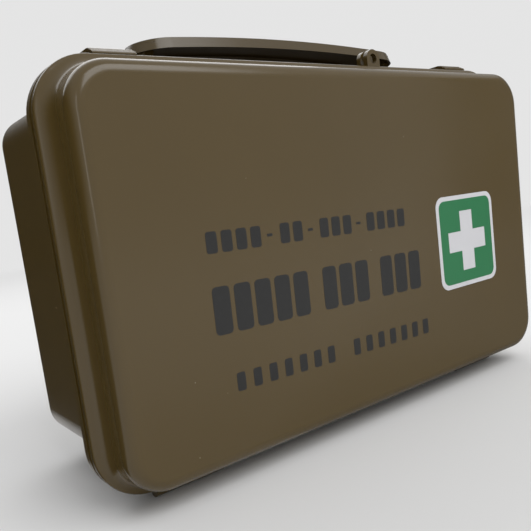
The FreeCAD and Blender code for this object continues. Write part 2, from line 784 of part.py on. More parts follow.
def make_packets():
    """Packets and cartons stowed in the base, and the card on the lid's inner face."""
    gap, front, back = size["stow_gap"], size["stow_front"], size["stow_back"]
    floor = inner_floor + size["stow_lift"]
    half_depth = (back - front - gap) / 2
    left, left_end = size["left_bay"], size["middle_bay"] - 2.0
    middle, middle_end = size["middle_bay"], size["middle_bay"] + size["roll_length"]
    dressing_top = floor + size["dressing_height"]
    triangular_low = dressing_top + gap
    rolls_top = floor + 4 * size["roll_radius"] + 2 * gap
    carton_top = rolls_top + size["carton_height"]
    card_half = size["card_width"] / 2
    card_low = -size["card_height"] / 2
    wall = size["lid_wall"]
    return [
        add_packet("dressing_front", (left, front, floor),
                   (left_end, front + half_depth, dressing_top)),
        add_packet("dressing_back", (left, back - half_depth, floor),
                   (left_end, back, dressing_top)),
        add_packet("triangular_bandage", (left, front, triangular_low),
                   (left_end, back, triangular_low + size["triangular_height"])),
        add_box("bandage_carton", (middle, front, rolls_top), (middle_end, back, carton_top)),
        add_packet("eye_dressing", (middle, front, carton_top + gap),
                   (middle_end, back, carton_top + gap + size["eye_pack_height"])),
        add_packet("rescue_blanket", (size["right_bay"], size["blanket_front"], floor),
                   (size["bay_end"], back, floor + size["blanket_height"])),
        add_box("instruction_card", (-card_half, wall, card_low),
                (card_half, wall + size["card_thickness"], -card_low)),
    ]


def make_rolls():
    """Four rolled gauze bandages, two deep and two high."""
    rolls = []
    radius, gap = size["roll_radius"], size["stow_gap"]
    floor = inner_floor + size["stow_lift"]
    spots = [(depth, up) for up in (floor + radius, floor + 3 * radius + gap)
             for depth in (size["stow_front"] + radius, size["stow_back"] - radius)]
    for number, (depth, up) in enumerate(spots, start=1):
        roll = doc.addObject("Part::Cylinder", "gauze_roll_%d" % number)
        roll.Label = "gauze_roll_%d" % number
        bind(roll, "Radius", radius)
        bind(roll, "Height", size["roll_length"])
        rolls.append(seat(roll, size["middle_bay"], depth, up,
                          Rotation(Vector(0, 1, 0), 90)))
    return rolls


def make_revolved(label, across, depth, up, corners, rotation=None):
    """Solid of revolution about its own upright axis, then placed."""
    body = doc.addObject("PartDesign::Body", label)
    body.Label = label
    sketch = new_sketch(body, "XZ_Plane")
    add_outline(sketch, corners)
    doc.recompute()
    turned = body.newObject("PartDesign::Revolution", "Turned")
    turned.Profile = sketch
    turned.ReferenceAxis = (sketch, ["V_Axis"])
    turned.Angle = 360
    doc.recompute()
    return seat(body, across, depth, up, rotation)


def make_bottle():
    """Small dropper bottle of antiseptic with a screw cap over its neck."""
    floor = inner_floor + size["stow_lift"]
    radius, height = size["bottle_radius"], size["bottle_height"]
    neck, neck_top = size["neck_radius"], size["bottle_height"] + size["neck_height"]
    cap, cap_low = size["cap_radius"], size["bottle_height"] + 1.0
    cap_bore = neck + size["running_gap"] * 2
    soft = 2.5
    place = (size["bottle_across"], size["bottle_depth"], floor)
    bottle = make_revolved("antiseptic_bottle", *place, [
        (Size(0), Size(0)), (radius, Size(0)), (radius, height - soft * 2),
        (radius - soft, height - soft * 0.6), (neck + 1.0, height), (neck, height + 0.5),
        (neck, neck_top), (Size(0), neck_top)])
    closure = make_revolved("bottle_cap", *place, [
        (cap_bore, cap_low), (cap, cap_low), (cap, cap_low + size["cap_height"] - 1.2),
        (cap - 1.2, cap_low + size["cap_height"]), (Size(0), cap_low + size["cap_height"]),
        (Size(0), neck_top + 0.1), (cap_bore, neck_top + 0.1)])
    return [bottle, closure]


def make_tape():
    """Adhesive tape wound on a flanged spool, its axis pointing to the lid."""
    half = size["tape_width"] / 2
    flange, wound = 1.6, size["tape_radius"] - 2.5
    hub_inner, hub_outer = 14.0, 16.5
    axis_to_front = Rotation(Vector(1, 0, 0), 90)
    place = (size["tape_across"], size["stow_front"] + half,
             inner_floor + size["stow_lift"] + size["tape_radius"])
    spool = make_revolved("tape_spool", *place, [
        (Size(hub_inner), -half), (size["tape_radius"], -half),
        (size["tape_radius"], -half + flange), (Size(hub_outer), -half + flange),
        (Size(hub_outer), half - flange), (size["tape_radius"], half - flange),
        (size["tape_radius"], half), (Size(hub_inner), half)], axis_to_front)
    tape = make_revolved("adhesive_tape", *place, [
        (Size(hub_outer), -half + flange), (wound, -half + flange),
        (wound, half - flange), (Size(hub_outer), half - flange)], axis_to_front)
    return [spool, tape]


def scissor_half(label, depth, mirrored):
    """Blade, shank and finger ring; the other half is the same turned over."""
    body = new_body(label)
    x, up = size["scissor_pivot_across"], size["scissor_pivot_up"]
    flip = -1 if mirrored else 1
    shank, offset = size["shank_length"], size["ring_offset"]
    thickness = size["blade_thickness"]
    outline = [
        (x - size["blade_length"], up + flip * 0.6), (x - size["blade_length"] * 0.9,
                                                      up - flip * 3.4),
        (x - 6.0, up - flip * 6.0), (x + 4.0, up - flip * 5.2), (x + 18.0, up + flip * 0.6),
        (x + shank - 8.0, up + flip * (offset - 8.6)), (x + shank - 11.5, up + flip * offset),
        (x + 14.0, up + flip * 7.2), (x + 2.0, up + flip * 5.0), (x - 8.0, up + flip * 1.6),
    ]
    for draw, cut in (
            (lambda s: add_outline(s, outline), False),
            (lambda s: add_circle(s, x + shank, up + flip * offset, size["ring_outer"]),
             False),
            (lambda s: add_circle(s, x + shank, up + flip * offset, size["ring_inner"]), True),
            (lambda s: add_circle(s, x, up, size["rivet_radius"] + size["running_gap"]),
             True)):
        sketch = new_sketch(body, "XZ_Plane", -(depth + thickness))
        draw(sketch)
        extrude(body, sketch, thickness, cut, against_normal=False)
    return body


def make_scissors():
    """Dressing scissors lying flat behind the packets: two halves and their rivet."""
    thickness, back = size["blade_thickness"], size["scissor_back"]
    rear_depth = back - thickness
    front_depth = rear_depth - thickness - size["running_gap"]
    head, head_radius, slack = 0.7, 3.2, size["running_gap"]
    rivet = make_revolved(
        "scissors_rivet", size["scissor_pivot_across"], back + head + slack,
        size["scissor_pivot_up"], [
            (Size(0), Size(0)), (Size(head_radius), Size(0)), (Size(head_radius), Size(head)),
            (size["rivet_radius"], Size(head)),
            (size["rivet_radius"], head + 2 * thickness + 3 * slack),
            (Size(head_radius), head + 2 * thickness + 3 * slack),
            (Size(head_radius), 2 * head + 2 * thickness + 3 * slack),
            (Size(0), 2 * head + 2 * thickness + 3 * slack)],
        Rotation(Vector(1, 0, 0), 90))
    return [scissor_half("scissors_blade_rear", rear_depth, True),
            scissor_half("scissors_blade_front", front_depth, False), rivet]


def make_tweezers():
    """Two steel arms joined at one end, lying on the rescue blanket."""
    body = new_body("tweezers")
    low = inner_floor + size["stow_lift"] + size["blanket_height"]
    start = size["right_bay"] + 3.0
    middle, strip, spread = 66.0, 1.1, 5.0
    length = size["tweezer_length"]
    sketch = new_sketch(body, "XY_Plane", low)
    add_outline(sketch, [
        (start, Size(middle - strip)), (start + length * 0.35, Size(middle - spread)),
        (start + length, Size(middle - 1.6)), (start + length, Size(middle - 1.6 + strip)),
        (start + length * 0.36, Size(middle - spread + strip)),
        (start + 2.4, Size(middle)),
        (start + length * 0.36, Size(middle + spread - strip)),
        (start + length, Size(middle + 1.6 - strip)), (start + length, Size(middle + 1.6)),
        (start + length * 0.35, Size(middle + spread)), (start, Size(middle + strip)),
    ])
    extrude(body, sketch, size["tweezer_height"])
    return body


# ---------------------------------------------------------------- build, check and write

pieces = [make_base(), make_lid(), make_gasket(), make_handle(), make_label()]
pieces += [make_latch(name, side) for name, side in LEFT_AND_RIGHT]
pieces += make_pins() + make_packets() + make_rolls() + make_bottle() + make_tape()
pieces += make_scissors() + [make_tweezers()]
doc.recompute()

for thing in doc.Objects:
    if "Invalid" in thing.State or "Error" in thing.State:
        raise RuntimeError("%s did not build: %s" % (thing.Label, thing.State))
for piece in pieces:
    if piece.Shape.isNull() or not piece.Shape.isValid():
        raise RuntimeError("%s has no valid shape" % piece.Label)

os.makedirs("parts", exist_ok=True)
for piece in pieces:
    piece.Shape.exportStep("parts/%s.step" % piece.Label)
    box = piece.Shape.BoundBox
    print("%-22s solids %d  volume %9.1f  x %7.2f %7.2f  y %7.2f %7.2f  z %7.2f %7.2f" % (
        piece.Label, len(piece.Shape.Solids), piece.Shape.Volume,
        box.XMin, box.XMax, box.YMin, box.YMax, box.ZMin, box.ZMax))
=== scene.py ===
"""First aid kit: the looks of the case and its contents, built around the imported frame.

Everything is in metres, +Z up, in the frame's own axes: X to the right across the lid,
Y from the lid's front face to the back of the case.
"""
import math
import random

import bmesh
import bpy
from mathutils import Matrix, Vector, noise


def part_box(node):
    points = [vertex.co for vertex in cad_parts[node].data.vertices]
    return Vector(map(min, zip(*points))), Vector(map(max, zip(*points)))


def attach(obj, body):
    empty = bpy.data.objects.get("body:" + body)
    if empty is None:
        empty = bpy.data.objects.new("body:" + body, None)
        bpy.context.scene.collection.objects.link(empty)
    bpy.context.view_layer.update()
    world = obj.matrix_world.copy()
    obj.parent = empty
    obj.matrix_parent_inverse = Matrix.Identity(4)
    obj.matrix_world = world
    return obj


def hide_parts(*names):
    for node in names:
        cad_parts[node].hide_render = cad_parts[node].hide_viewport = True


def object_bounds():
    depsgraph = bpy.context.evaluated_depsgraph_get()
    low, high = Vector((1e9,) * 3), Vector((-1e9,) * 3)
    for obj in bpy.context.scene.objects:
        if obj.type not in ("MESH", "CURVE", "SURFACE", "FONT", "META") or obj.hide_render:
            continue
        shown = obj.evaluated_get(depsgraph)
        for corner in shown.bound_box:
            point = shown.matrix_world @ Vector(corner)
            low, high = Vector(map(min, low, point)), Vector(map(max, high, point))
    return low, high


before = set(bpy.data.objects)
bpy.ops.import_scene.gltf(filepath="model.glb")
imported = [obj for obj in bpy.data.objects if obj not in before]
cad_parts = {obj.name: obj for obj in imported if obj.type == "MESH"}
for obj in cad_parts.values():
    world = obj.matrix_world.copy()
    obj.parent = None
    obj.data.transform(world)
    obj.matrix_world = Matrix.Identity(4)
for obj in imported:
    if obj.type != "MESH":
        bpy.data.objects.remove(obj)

CAD_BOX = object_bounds()
MM = 0.001
FILM = 0.04 * MM        # thickness of printed ink and stuck-on film
LIFT = 0.01 * MM        # how far a film stands off what it is printed on

# Linear colours.
OLIVE = (0.075, 0.049, 0.0133)
INK = (0.007, 0.007, 0.0066)
WHITE_FILM = (0.59, 0.59, 0.61)
SIGN_GREEN = (0.012, 0.16, 0.055)
STRIPE_GREEN = (0.02, 0.14, 0.09)
PLAIN_WHITE = (0.70, 0.69, 0.66)
BACKDROP_GLOW = 0.78    # brightness of the backdrop, and of the floor where it meets it


# ---------------------------------------------------------------- camera, light and world

def make_camera():
    """Low three-quarter view from the left, close to the case."""
    azimuth, fall, roll = math.radians(36.81), math.radians(8.04), math.radians(7.10)
    eye = (-0.18224, -0.22331, 0.09736)
    ahead = Vector((math.sin(azimuth) * math.cos(fall), math.cos(azimuth) * math.cos(fall),
                    -math.sin(fall)))
    level = Vector((math.cos(azimuth), -math.sin(azimuth), 0.0))
    above = level.cross(ahead)
    across = level * math.cos(roll) - above * math.sin(roll)
    up = above * math.cos(roll) + level * math.sin(roll)
    data = bpy.data.cameras.new("Camera")
    data.lens, data.sensor_width = 41.98, 36.0
    data.shift_x, data.shift_y = -0.0266, 0.0464
    data.clip_start, data.clip_end = 0.01, 50.0
    camera = bpy.data.objects.new("Camera", data)
    bpy.context.scene.collection.objects.link(camera)
    turn = Matrix((across, up, -ahead)).transposed().to_4x4()
    camera.matrix_world = Matrix.Translation(eye) @ turn
    bpy.context.scene.camera = camera


def make_world():
    """Pale surroundings, bright from the front right and above and dim on the left."""
    bright_side = Vector((0.62, -0.62, 0.48)).normalized()
    dim_end, bright_end = (0.16, 0.02), (0.55, 0.88)    # place on the ramp, grey
    world = bpy.data.worlds.new("Studio")
    bpy.context.scene.world = world
    world.use_nodes = True
    nodes, links = world.node_tree.nodes, world.node_tree.links
    background = nodes["Background"]
    where = nodes.new("ShaderNodeTexCoord")
    along = nodes.new("ShaderNodeVectorMath")
    along.operation = "DOT_PRODUCT"
    along.inputs[1].default_value = bright_side
    spread = nodes.new("ShaderNodeMapRange")
    spread.inputs["From Min"].default_value = -1.0
    ramp = nodes.new("ShaderNodeValToRGB")
    ramp.color_ramp.interpolation = "EASE"
    for element, (place, level) in zip(ramp.color_ramp.elements, (dim_end, bright_end)):
        element.position = place
        element.color = (*grey(level), 1)
    links.new(where.outputs["Generated"], along.inputs[0])
    links.new(along.outputs["Value"], spread.inputs["Value"])
    links.new(spread.outputs["Result"], ramp.inputs["Fac"])
    links.new(ramp.outputs["Color"], background.inputs["Color"])
    background.inputs["Strength"].default_value = 0.8


def add_softbox(name, place, across, up, power):
    target = (CAD_BOX[0] + CAD_BOX[1]) / 2
    data = bpy.data.lights.new(name, "AREA")
    data.shape, data.size, data.size_y, data.energy = "RECTANGLE", across, up, power
    light = bpy.data.objects.new(name, data)
    light.location = place
    light.rotation_euler = (target - Vector(place)).to_track_quat("-Z", "Y").to_euler()
    bpy.context.scene.collection.objects.link(light)


def make_lights():
    """A broad key in front, a bank high behind, and a slim strip on the left."""
    add_softbox("KeyFromFront", (0.3, -1.35, 1.55), across=1.7, up=1.3, power=20.6)
    add_softbox("BankBehind", (0.15, 0.95, 1.05), across=1.9, up=0.8, power=7.5)
    add_softbox("StripLeft", (-0.95, -1.05, 0.42), across=0.12, up=0.7, power=0.6)


# ---------------------------------------------------------------- material nodes

def scaled(colour, factor):
    return tuple(c * factor for c in colour)


def grey(level):
    return (level, level, level)


class Finish:
    """A material whose node tree is built up layer by layer in object coordinates."""

    def __init__(self, name, colour, roughness, metallic=0.0):
        self.material = bpy.data.materials.new(name)
        self.material.use_nodes = True
        self.nodes = self.material.node_tree.nodes
        self.links = self.material.node_tree.links
        self.shader = self.nodes["Principled BSDF"]
        self.shader.inputs["Metallic"].default_value = metallic
        self.where = self.nodes.new("ShaderNodeTexCoord").outputs["Object"]
        base = self.nodes.new("ShaderNodeRGB")
        base.outputs[0].default_value = (*colour, 1)
        self.colour = base.outputs[0]
        gloss = self.nodes.new("ShaderNodeValue")
        gloss.outputs[0].default_value = roughness
        self.roughness = gloss.outputs[0]
        self.normal = None

    def stretched(self, scale, turn=(0, 0, 0)):
        """Object coordinates, turned and stretched."""
        node = self.nodes.new("ShaderNodeMapping")
        node.inputs["Scale"].default_value = scale
        node.inputs["Rotation"].default_value = turn
        self.links.new(self.where, node.inputs["Vector"])
        return node.outputs[0]

    def noise(self, scale, detail=2.0, vector=None, distortion=0.0):
        node = self.nodes.new("ShaderNodeTexNoise")
        node.inputs["Scale"].default_value = scale
        node.inputs["Detail"].default_value = detail
        node.inputs["Distortion"].default_value = distortion
        self.links.new(vector or self.where, node.inputs["Vector"])
        return node.outputs["Fac"]

    def cells(self, scale, vector=None):
        node = self.nodes.new("ShaderNodeTexVoronoi")
        node.inputs["Scale"].default_value = scale
        self.links.new(vector or self.where, node.inputs["Vector"])
        return node

    def wave(self, scale, direction, distortion=0.0):
        node = self.nodes.new("ShaderNodeTexWave")
        node.bands_direction = direction
        node.inputs["Scale"].default_value = scale
        node.inputs["Distortion"].default_value = distortion
        self.links.new(self.where, node.inputs["Vector"])
        return node.outputs["Fac"]

    def rings(self, scale, centre, distortion):
        """Fine rings about an axis along Y through a centre."""
        shift = self.vector_maths("SUBTRACT", centre)
        node = self.nodes.new("ShaderNodeTexWave")
        node.wave_type, node.rings_direction = "RINGS", "Y"
        node.inputs["Scale"].default_value = scale
        node.inputs["Distortion"].default_value = distortion
        self.links.new(shift.outputs[0], node.inputs["Vector"])
        return node.outputs["Fac"]

    def facing_down(self):
        """1 on faces that look down, 0 on the rest."""
        normal = self.nodes.new("ShaderNodeTexCoord").outputs["Normal"]
        parts = self.nodes.new("ShaderNodeSeparateXYZ")
        self.links.new(normal, parts.inputs["Vector"])
        return self.spread(parts.outputs["Z"], -0.25, -0.6)

    def spread(self, fac, low, high, to_low=0.0, to_high=1.0):
        """Map a stretch of one value onto another, clamped."""
        node = self.nodes.new("ShaderNodeMapRange")
        for name, number in (("From Min", low), ("From Max", high), ("To Min", to_low),
                             ("To Max", to_high)):
            node.inputs[name].default_value = number
        self.links.new(fac, node.inputs["Value"])
        return node.outputs["Result"]

    def maths(self, kind, first, second):
        node = self.nodes.new("ShaderNodeMath")
        node.operation = kind
        for socket, source in zip(node.inputs, (first, second)):
            if isinstance(source, (int, float)):
                socket.default_value = source
            else:
                self.links.new(source, socket)
        return node.outputs[0]

    def vector_maths(self, kind, second=None):
        """Vector arithmetic on the object coordinates."""
        node = self.nodes.new("ShaderNodeVectorMath")
        node.operation = kind
        self.links.new(self.where, node.inputs[0])
        if second is not None:
            node.inputs[1].default_value = second
        return node

    def tint(self, fac, colour):
        """Lay a colour over the base colour where fac is high."""
        node = self.nodes.new("ShaderNodeMix")
        node.data_type = "RGBA"
        self.links.new(fac, node.inputs["Factor"])
        self.links.new(self.colour, node.inputs["A"])
        node.inputs["B"].default_value = (*colour, 1)
        self.colour = node.outputs["Result"]

    def mottle(self, colour, scale, detail, low, high, share):
        """Blotches of a colour, up to a share, where a noise goes from low to high."""
        self.tint(self.spread(self.noise(scale, detail), low, high, 0.0, share), colour)

    def roughen(self, amount):
        """Add a value to the roughness."""
        self.roughness = self.maths("ADD", self.roughness, amount)

    def rub(self, scale, detail, low, high, least, most):
        """Uneven gloss: roughness changed by least to most as a noise goes low to high."""
        self.roughen(self.spread(self.noise(scale, detail), low, high, least, most))

    def emboss(self, height, distance, strength=1.0):
        node = self.nodes.new("ShaderNodeBump")
        node.inputs["Strength"].default_value = strength
        node.inputs["Distance"].default_value = distance
        self.links.new(height, node.inputs["Height"])
        if self.normal is not None:
            self.links.new(self.normal, node.inputs["Normal"])
        self.normal = node.outputs["Normal"]

    def done(self, **inputs):
        for name, number in inputs.items():
            self.shader.inputs[name.replace("_", " ")].default_value = number
        self.links.new(self.colour, self.shader.inputs["Base Color"])
        self.links.new(self.roughness, self.shader.inputs["Roughness"])
        if self.normal is not None:
            self.links.new(self.normal, self.shader.inputs["Normal"])
        return self.material


# ---------------------------------------------------------------- floor and backdrop

def staged(name, corners, material):
    """A flat thing of the studio, which is no part of the object."""
    mesh = bpy.data.meshes.new(name)
    mesh.from_pydata(corners, [], [tuple(range(len(corners)))])
    stand = bpy.data.objects.new(name, mesh)
    bpy.context.scene.collection.objects.link(stand)
    mesh.materials.append(material)
    return stand


def pale_floor():
    fade_start, fade_end = 0.6, 1.7
    finish = Finish("PaleFloor", grey(0.76), 0.75)
    distance = finish.vector_maths("LENGTH").outputs["Value"]
    far = finish.spread(distance, fade_start, fade_end)
    finish.tint(far, grey(0))
    finish.links.new(finish.maths("MULTIPLY", far, BACKDROP_GLOW),
                     finish.shader.inputs["Emission Strength"])
    return finish.done(Specular_IOR_Level=0.0, Emission_Color=(1, 1, 1, 1))


def fading_cloth():
    """Light grey in front, darker from the lid's line backwards."""
    finish = Finish("FadingCloth", grey(0.66), 0.75)
    inwards = finish.vector_maths("DOT_PRODUCT", (0.57, 0.82, 0.0)).outputs["Value"]
    finish.tint(finish.spread(inwards, -0.09, 0.03), grey(0.26))
    return finish.done()


def make_floor():
    """Pale floor, and dim shades beside the case that only its reflections show."""
    reach = 40.0
    raised = 1.0 * MM
    staged("Floor", [(-reach, -reach, 0), (reach, -reach, 0), (reach, reach, 0),
                     (-reach, reach, 0)], pale_floor())
    left = [(-reach, -0.3), (-0.125, -0.03), (-0.125, 0.6), (0.3, 3.0), (0.3, reach),
            (-reach, reach)]
    right = [(-0.06, -0.06), (0.95, -0.78), (1.5, 0.8), (0.13, 0.1)]
    board_right = [(0.95, -0.72, 0), (1.5, 0.8, 0), (1.5, 0.8, 0.9), (1.0, -0.66, 0.7),
                   (0.95, -0.72, 0.4)]
    dim = Finish("DimCloth", grey(0.02), 0.9).done(Specular_IOR_Level=0.0)
    shades = [
        staged("ShadeClothLeft", [(x, y, raised) for x, y in left], dim),
        staged("ShadeClothRight", [(x, y, raised) for x, y in right], fading_cloth()),
        staged("ShadeBoardRight", board_right, Finish("GreyBoard", grey(0.34), 0.75).done()),
    ]
    for shade in shades:
        shade.visible_camera = shade.visible_shadow = shade.visible_diffuse = False


def make_backdrop():
    """A pale dome that only the camera sees, so that the ground meets no horizon line."""
    shape = bmesh.new()
    bmesh.ops.create_uvsphere(shape, u_segments=64, v_segments=32, radius=2.6)
    mesh = finished(shape, "Backdrop")
    material = bpy.data.materials.new("PaleBackdrop")
    material.use_nodes = True
    shader = material.node_tree.nodes["Principled BSDF"]
    shader.inputs["Base Color"].default_value = (0, 0, 0, 1)
    shader.inputs["Specular IOR Level"].default_value = 0.0
    shader.inputs["Emission Color"].default_value = (1, 1, 1, 1)
    shader.inputs["Emission Strength"].default_value = BACKDROP_GLOW
    dome = new_piece("Backdrop", mesh, material)
    dome.visible_diffuse = dome.visible_glossy = dome.visible_shadow = False
    dome.visible_transmission = False


# ---------------------------------------------------------------- meshes

def new_piece(name, mesh, material):
    piece = bpy.data.objects.new(name, mesh)
    bpy.context.scene.collection.objects.link(piece)
    mesh.materials.append(material)
    return piece


def finished(shape, name, smooth=False):
    """Turn a bmesh into a mesh."""
    for face in shape.faces:
        face.smooth = smooth
    mesh = bpy.data.meshes.new(name)
    shape.to_mesh(mesh)
    shape.free()
    return mesh


def turn_outwards(shape):
    bmesh.ops.recalc_face_normals(shape, faces=shape.faces)


def bridge(shape, one, two):
    """Quads between two closed loops of as many points."""
    for i in range(len(one)):
        j = (i + 1) % len(one)
        shape.faces.new((one[i], one[j], two[j], two[i]))


def rounded_block(across, up, width, height, radius, steps=6):
    """Outline of a rounded rectangle about a centre."""
    points = []
    for quarter, (sx, sy) in enumerate(((1, 1), (-1, 1), (-1, -1), (1, -1))):
        cx = across + sx * (width / 2 - radius)
        cy = up + sy * (height / 2 - radius)
        for step in range(steps + 1):
            angle = math.pi / 2 * (quarter + step / steps)
            points.append((cx + radius * math.cos(angle), cy + radius * math.sin(angle)))
    return points


def cross_outline(across, up, reach, half_arm):
    """Outline of an upright cross."""
    a, r = half_arm, reach
    turns = [(a, a), (a, r), (-a, r), (-a, a), (-r, a), (-r, -a), (-a, -a), (-a, -r),
             (a, -r), (a, -a), (r, -a), (r, a)]
    return [(across + x, up + y) for x, y in turns]


def flat_mesh(name, outlines, place):
    """Film-thin mesh of flat shapes, with holes where outlines lie inside others.

    place turns a flat point (across, up, out) into a point of the frame.
    """
    shape = bmesh.new()
    edges = []
    for outline in outlines:
        corners = [shape.verts.new((x, y, 0.0)) for x, y in outline]
        edges += [shape.edges.new((corners[i - 1], corners[i])) for i in range(len(corners))]
    bmesh.ops.triangle_fill(shape, use_beauty=True, use_dissolve=True, edges=edges)
    turn_outwards(shape)
    for face in shape.faces:
        if face.normal.z < 0:
            face.normal_flip()
    raised = bmesh.ops.extrude_face_region(shape, geom=list(shape.faces))
    top = [g for g in raised["geom"] if isinstance(g, bmesh.types.BMVert)]
    bmesh.ops.translate(shape, vec=(0, 0, FILM), verts=top)
    turn_outwards(shape)
    for vert in shape.verts:
        vert.co = place(*vert.co)
    return finished(shape, name)


def block_grid(cells):
    """Surface of a block as a grid of quads, its corners at -1 and 1."""
    shape, made = bmesh.new(), {}

    def corner(spot):
        if spot not in made:
            made[spot] = shape.verts.new([2 * c / n - 1 for c, n in zip(spot, cells)])
        return made[spot]

    for axis in range(3):
        first, second = [other for other in range(3) if other != axis]
        for side in (0, cells[axis]):
            for p in range(cells[first]):
                for q in range(cells[second]):
                    ring = []
                    for dp, dq in ((0, 0), (1, 0), (1, 1), (0, 1)):
                        spot = [0, 0, 0]
                        spot[axis], spot[first], spot[second] = side, p + dp, q + dq
                        ring.append(corner(tuple(spot)))
                    shape.faces.new(ring)
    turn_outwards(shape)
    return shape


def sleeve(name, middle, axis, inner, outer, start, end, material):
    """A thin band of the case's contents, round an axis along X, Y or Z (0, 1 and 2).

    start and end are its edges' distances from the middle point along the axis.
    """
    steps = 72
    others = [n for n in range(3) if n != axis]
    profile = [(inner, start), (outer, start), (outer, end), (inner, end)]
    shape, rings = bmesh.new(), []
    for k in range(steps):
        angle = math.tau * k / steps
        ring = []
        for radius, along in profile:
            spot = list(middle)
            spot[axis] += along
            spot[others[0]] += radius * math.cos(angle)
            spot[others[1]] += radius * math.sin(angle)
            ring.append(shape.verts.new(spot))
        rings.append(ring)
    for k in range(steps):
        bridge(shape, rings[k], rings[(k + 1) % steps])
    turn_outwards(shape)
    piece = new_piece(name, finished(shape, name), material)
    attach(piece, "case")


# ---------------------------------------------------------------- case

def moulded_plastic(name, colour, roughness, matt_and_shaded_below=False):
    """Glossy injection moulding: flow mottling, faint ripple and dust; where asked, faces that
    look down are also made matt and painted darker as painted shade.
    """
    finish = Finish(name, colour, roughness)
    flow = finish.noise(9.0, 3.0, finish.stretched((1.0, 1.0, 0.45)), 0.6)
    finish.tint(finish.spread(flow, 0.50, 0.75, to_high=0.6), scaled(colour, 1.08))
    finish.tint(finish.spread(flow, 0.50, 0.25, to_high=0.6), scaled(colour, 0.92))
    finish.rub(26.0, 4.0, 0.40, 0.75, -0.02, 0.05)
    finish.emboss(finish.noise(14.0, 1.0), 0.12 * MM, 0.10)
    finish.emboss(finish.noise(1400.0, 1.0), 0.01 * MM, 0.12)
    scatter_dust(finish, 230.0, (0.62, 0.60, 0.54))
    scatter_dust(finish, 420.0, (0.40, 0.38, 0.32))
    if matt_and_shaded_below:
        # painted shade: faces that look down are painted darker; they are also made rougher and
        # less shiny
        below = finish.facing_down()
        finish.tint(below, scaled(colour, 0.8))
        finish.roughen(finish.spread(below, 0.0, 1.0, to_high=0.45))
        finish.links.new(finish.spread(below, 0.0, 1.0, 0.5, 0.02),
                         finish.shader.inputs["Specular IOR Level"])
    return finish.done(IOR=1.5)


def scatter_dust(finish, scale, shade):
    """Matt specks in the middles of a few cells of a scattered pattern."""
    rarity = 0.955      # share of the cells that stay clean, nearly
    specks = finish.cells(scale)
    chosen = finish.spread(specks.outputs["Color"], rarity, rarity + 0.002)
    near = finish.spread(specks.outputs["Distance"], 0.12, 0.07)
    dusty = finish.maths("MULTIPLY", chosen, near)
    finish.tint(finish.maths("MULTIPLY", dusty, 0.7), shade)
    finish.roughen(finish.spread(dusty, 0.0, 1.0, to_high=0.4))


def printed(name, colour):
    """Screen-printed ink: slightly uneven, with pinholes."""
    finish = Finish(name, colour, 0.32)
    paler = tuple(c * 1.8 + 0.004 for c in colour)
    finish.mottle(paler, 420.0, 3.0, 0.5, 0.8, 0.35)
    finish.emboss(finish.noise(1600.0, 1.0), 0.01 * MM, 0.4)
    return finish.done()


def film(name, colour):
    """Satin vinyl film with a faint orange peel."""
    finish = Finish(name, colour, 0.28)
    finish.mottle(scaled(colour, 0.9), 60.0, 3.0, 0.4, 0.75, 0.25)
    finish.emboss(finish.noise(500.0, 2.0), 0.02 * MM, 0.3)
    return finish.done()


def brushed_steel(name, shade, roughness, stretch):
    """Steel with a fine grain, drawn out along the axes that stretch makes small."""
    finish = Finish(name, shade, roughness, metallic=1.0)
    grain = finish.noise(300.0, 4.0, finish.stretched(stretch))
    finish.roughen(finish.spread(grain, 0.3, 0.7, -0.06, 0.1))
    finish.emboss(grain, 0.02 * MM, 0.4)
    finish.mottle(scaled(shade, 0.75), 90.0, 3.0, 0.6, 0.8, 0.4)
    return finish.done()


def rubber(name):
    finish = Finish(name, (0.018, 0.017, 0.016), 0.62)
    finish.mottle((0.05, 0.048, 0.045), 200.0, 3.0, 0.55, 0.8, 0.5)
    finish.emboss(finish.noise(900.0, 2.0), 0.05 * MM, 0.5)
    return finish.done()


def give(node, material):
    """Put a material on a CAD node that keeps its own shape."""
    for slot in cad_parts[node].material_slots:
        slot.material = material


def make_panel_print(ink):
    """Three printed rows of plain blocks on the lid, in place of words and numbers."""
    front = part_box("lid")[0].y
    middle_height = 77.3 * MM
    tilt = math.radians(-1.3)
    dash_width, dash_height = 2.4 * MM, 1.0 * MM

    def on_panel(x, y, out):
        return Vector((x * math.cos(tilt) - y * math.sin(tilt), front - LIFT - out,
                       middle_height + x * math.sin(tilt) + y * math.cos(tilt)))

    rows = [  # middle, block height, block width, pitch, gap, start, in mm; groups, dashes
        (7.8, 7.4, 4.4, 6.1, 7.0, -77.0, (4, 2, 3, 4), True),
        (-15.5, 16.6, 7.0, 8.8, 5.6, -77.0, (5, 3, 3), False),
        (-41.4, 6.6, 3.6, 7.1, 7.0, -71.0, (7, 7), False),
    ]
    outlines = []
    for *sizes, groups, dashes in rows:
        up, height, width, pitch, gap, across = [size * MM for size in sizes]
        for number, size in enumerate(groups, 1):
            for _ in range(size):
                outlines.append(rounded_block(across + width / 2, up, width, height,
                                              width * 0.22, 3))
                across += pitch
            if dashes and number < len(groups):
                outlines.append(rounded_block(across + gap * 0.32, up, dash_width,
                                              dash_height, 0.3 * MM, 3))
            across += gap
    piece = new_piece("panel_print", flat_mesh("panel_print", outlines, on_panel), ink)
    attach(piece, "lid")


def make_emblem(green):
    """Green field with a white cross left open in it, printed on the white label."""
    low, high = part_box("emblem_label")
    margin, corner = 2.0 * MM, 3.6 * MM
    across, up = (low.x + high.x) / 2, (low.z + high.z) / 2
    side = (high.x - low.x) - 2 * margin
    outlines = [rounded_block(across, up, side, side, corner),
                cross_outline(across, up, side * 0.36, side * 0.12)]
    mesh = flat_mesh("emblem_field", outlines,
                     lambda x, y, out: Vector((x, low.y - LIFT - out, y)))
    piece = new_piece("emblem_field", mesh, green)
    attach(piece, "lid")


